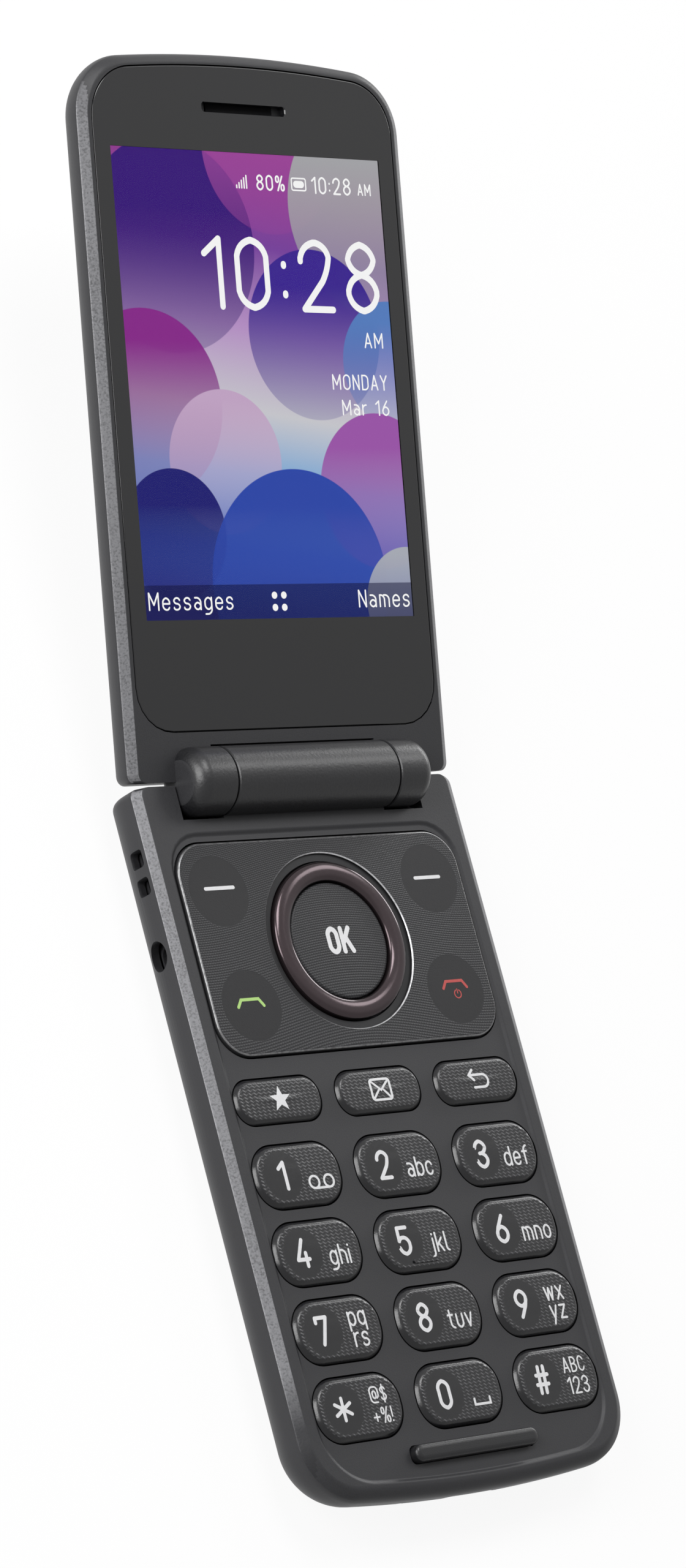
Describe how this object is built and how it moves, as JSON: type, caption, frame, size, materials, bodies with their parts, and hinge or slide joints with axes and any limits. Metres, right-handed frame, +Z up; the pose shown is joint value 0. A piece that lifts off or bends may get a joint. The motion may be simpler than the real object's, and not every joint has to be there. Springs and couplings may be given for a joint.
{
  "type": "flip phone",
  "caption": "Clamshell mobile phone lying open: keypad half with barrel hinge, navigation ring and press keys, and a lid with display, earpiece and small outer screen.",
  "frame": {"origin": "centre of the keypad half's flat back, on the battery cover, which the phone rests on", "axes": "+Z up out of the keypad, +Y along the phone towards the hinge and the lid, +X towards the right-hand side"},
  "size_m": [0.0584, 0.1994, 0.0366],
  "materials": {
    "body_plastic": "matte",
    "key_plastic": "satin",
    "ring_metal": "satin",
    "window_acrylic": "gloss",
    "display_glass": "gloss",
    "silicone": "matte",
    "dome_steel": "satin",
    "bare_steel": "satin",
    "circuit_board": "satin",
    "socket_plastic": "matte",
    "battery_case": "satin"
  },
  "bodies": {
    "keypad_half": {"base_front_housing": "body_plastic", "base_rear_housing": "body_plastic", "battery_cover": "body_plastic", "battery": "battery_case", "main_board": "circuit_board", "key_dome_sheet": "dome_steel", "key_mat": "silicone", "shield_can": "bare_steel", "sim_reader": "bare_steel", "battery_contacts": "socket_plastic", "headphone_jack": "socket_plastic", "usb_socket": "bare_steel", "microphone": "bare_steel", "loudspeaker": "socket_plastic", "vibration_motor": "bare_steel", "closing_bar": "body_plastic", "hinge_cartridge": "bare_steel", "base_screw_1": "bare_steel", "base_screw_2": "bare_steel", "base_screw_3": "bare_steel", "base_screw_4": "bare_steel"},
    "lid": {"lid_front_housing": "body_plastic", "lid_rear_housing": "body_plastic", "display_window": "window_acrylic", "main_display": "display_glass", "earpiece_mesh": "bare_steel", "earpiece": "socket_plastic", "lid_board": "circuit_board", "closing_magnet": "bare_steel", "hinge_cam_shaft": "bare_steel", "hinge_pin": "bare_steel", "outer_window": "window_acrylic", "outer_display": "display_glass", "camera_rim": "ring_metal", "camera_lens": "window_acrylic", "camera_module": "socket_plastic", "lid_screw_1": "bare_steel", "lid_screw_2": "bare_steel"},
    "plate_carrier": {"nav_plate_carrier": "socket_plastic"},
    "plate": {"nav_plate": "key_plastic"},
    "ring_seat": {"nav_ring_seat": "socket_plastic"},
    "ring": {"nav_ring": "ring_metal"},
    "ok": {"ok_key": "key_plastic"},
    "favourite": {"key_favourite": "key_plastic"},
    "message": {"key_message": "key_plastic"},
    "back": {"key_back": "key_plastic"},
    "digit_1": {"key_1": "key_plastic"},
    "digit_2": {"key_2": "key_plastic"},
    "digit_3": {"key_3": "key_plastic"},
    "digit_4": {"key_4": "key_plastic"},
    "digit_5": {"key_5": "key_plastic"},
    "digit_6": {"key_6": "key_plastic"},
    "digit_7": {"key_7": "key_plastic"},
    "digit_8": {"key_8": "key_plastic"},
    "digit_9": {"key_9": "key_plastic"},
    "star": {"key_star": "key_plastic"},
    "digit_0": {"key_0": "key_plastic"},
    "hash": {"key_hash": "key_plastic"}
  },
  "joints": [
    {"name": "lid_hinge", "type": "hinge", "parent": "keypad_half", "child": "lid", "pos_m": [0, 0.05067, 0.0104], "axis": [1, 0, 0], "range_deg": [0, 164.34]},
    {"name": "plate_rock_x", "type": "hinge", "parent": "keypad_half", "child": "plate_carrier", "pos_m": [0, 0.02695, 0.0088], "axis": [1, 0, 0], "range_deg": [-0.4, 0.4], "stiffness_Nm_per_rad": 3},
    {"name": "plate_rock_y", "type": "hinge", "parent": "plate_carrier", "child": "plate", "pos_m": [0, 0.02695, 0.0088], "axis": [0, 1, 0], "range_deg": [-0.4, 0.4], "stiffness_Nm_per_rad": 4.7},
    {"name": "ring_rock_x", "type": "hinge", "parent": "keypad_half", "child": "ring_seat", "pos_m": [0, 0.02707, 0.0094], "axis": [1, 0, 0], "range_deg": [-1.2, 1.2], "stiffness_Nm_per_rad": 0.72},
    {"name": "ring_rock_y", "type": "hinge", "parent": "ring_seat", "child": "ring", "pos_m": [0, 0.02707, 0.0094], "axis": [0, 1, 0], "range_deg": [-1.2, 1.2], "stiffness_Nm_per_rad": 0.72},
    {"name": "ok_press", "type": "slide", "parent": "keypad_half", "child": "ok", "axis": [0, 0, -1], "range_m": [0, 0.0003], "stiffness_N_per_m": 4000},
    {"name": "key_favourite_press", "type": "slide", "parent": "keypad_half", "child": "favourite", "axis": [0, 0, -1], "range_m": [0, 0.0003], "stiffness_N_per_m": 4000},
    {"name": "key_message_press", "type": "slide", "parent": "keypad_half", "child": "message", "axis": [0, 0, -1], "range_m": [0, 0.0003], "stiffness_N_per_m": 4000},
    {"name": "key_back_press", "type": "slide", "parent": "keypad_half", "child": "back", "axis": [0, 0, -1], "range_m": [0, 0.0003], "stiffness_N_per_m": 4000},
    {"name": "key_1_press", "type": "slide", "parent": "keypad_half", "child": "digit_1", "axis": [0, 0, -1], "range_m": [0, 0.0003], "stiffness_N_per_m": 4000},
    {"name": "key_2_press", "type": "slide", "parent": "keypad_half", "child": "digit_2", "axis": [0, 0, -1], "range_m": [0, 0.0003], "stiffness_N_per_m": 4000},
    {"name": "key_3_press", "type": "slide", "parent": "keypad_half", "child": "digit_3", "axis": [0, 0, -1], "range_m": [0, 0.0003], "stiffness_N_per_m": 4000},
    {"name": "key_4_press", "type": "slide", "parent": "keypad_half", "child": "digit_4", "axis": [0, 0, -1], "range_m": [0, 0.0003], "stiffness_N_per_m": 4000},
    {"name": "key_5_press", "type": "slide", "parent": "keypad_half", "child": "digit_5", "axis": [0, 0, -1], "range_m": [0, 0.0003], "stiffness_N_per_m": 4000},
    {"name": "key_6_press", "type": "slide", "parent": "keypad_half", "child": "digit_6", "axis": [0, 0, -1], "range_m": [0, 0.0003], "stiffness_N_per_m": 4000},
    {"name": "key_7_press", "type": "slide", "parent": "keypad_half", "child": "digit_7", "axis": [0, 0, -1], "range_m": [0, 0.0003], "stiffness_N_per_m": 4000},
    {"name": "key_8_press", "type": "slide", "parent": "keypad_half", "child": "digit_8", "axis": [0, 0, -1], "range_m": [0, 0.0003], "stiffness_N_per_m": 4000},
    {"name": "key_9_press", "type": "slide", "parent": "keypad_half", "child": "digit_9", "axis": [0, 0, -1], "range_m": [0, 0.0003], "stiffness_N_per_m": 4000},
    {"name": "key_star_press", "type": "slide", "parent": "keypad_half", "child": "star", "axis": [0, 0, -1], "range_m": [0, 0.0003], "stiffness_N_per_m": 4000},
    {"name": "key_0_press", "type": "slide", "parent": "keypad_half", "child": "digit_0", "axis": [0, 0, -1], "range_m": [0, 0.0003], "stiffness_N_per_m": 4000},
    {"name": "key_hash_press", "type": "slide", "parent": "keypad_half", "child": "hash", "axis": [0, 0, -1], "range_m": [0, 0.0003], "stiffness_N_per_m": 4000}
  ]
}
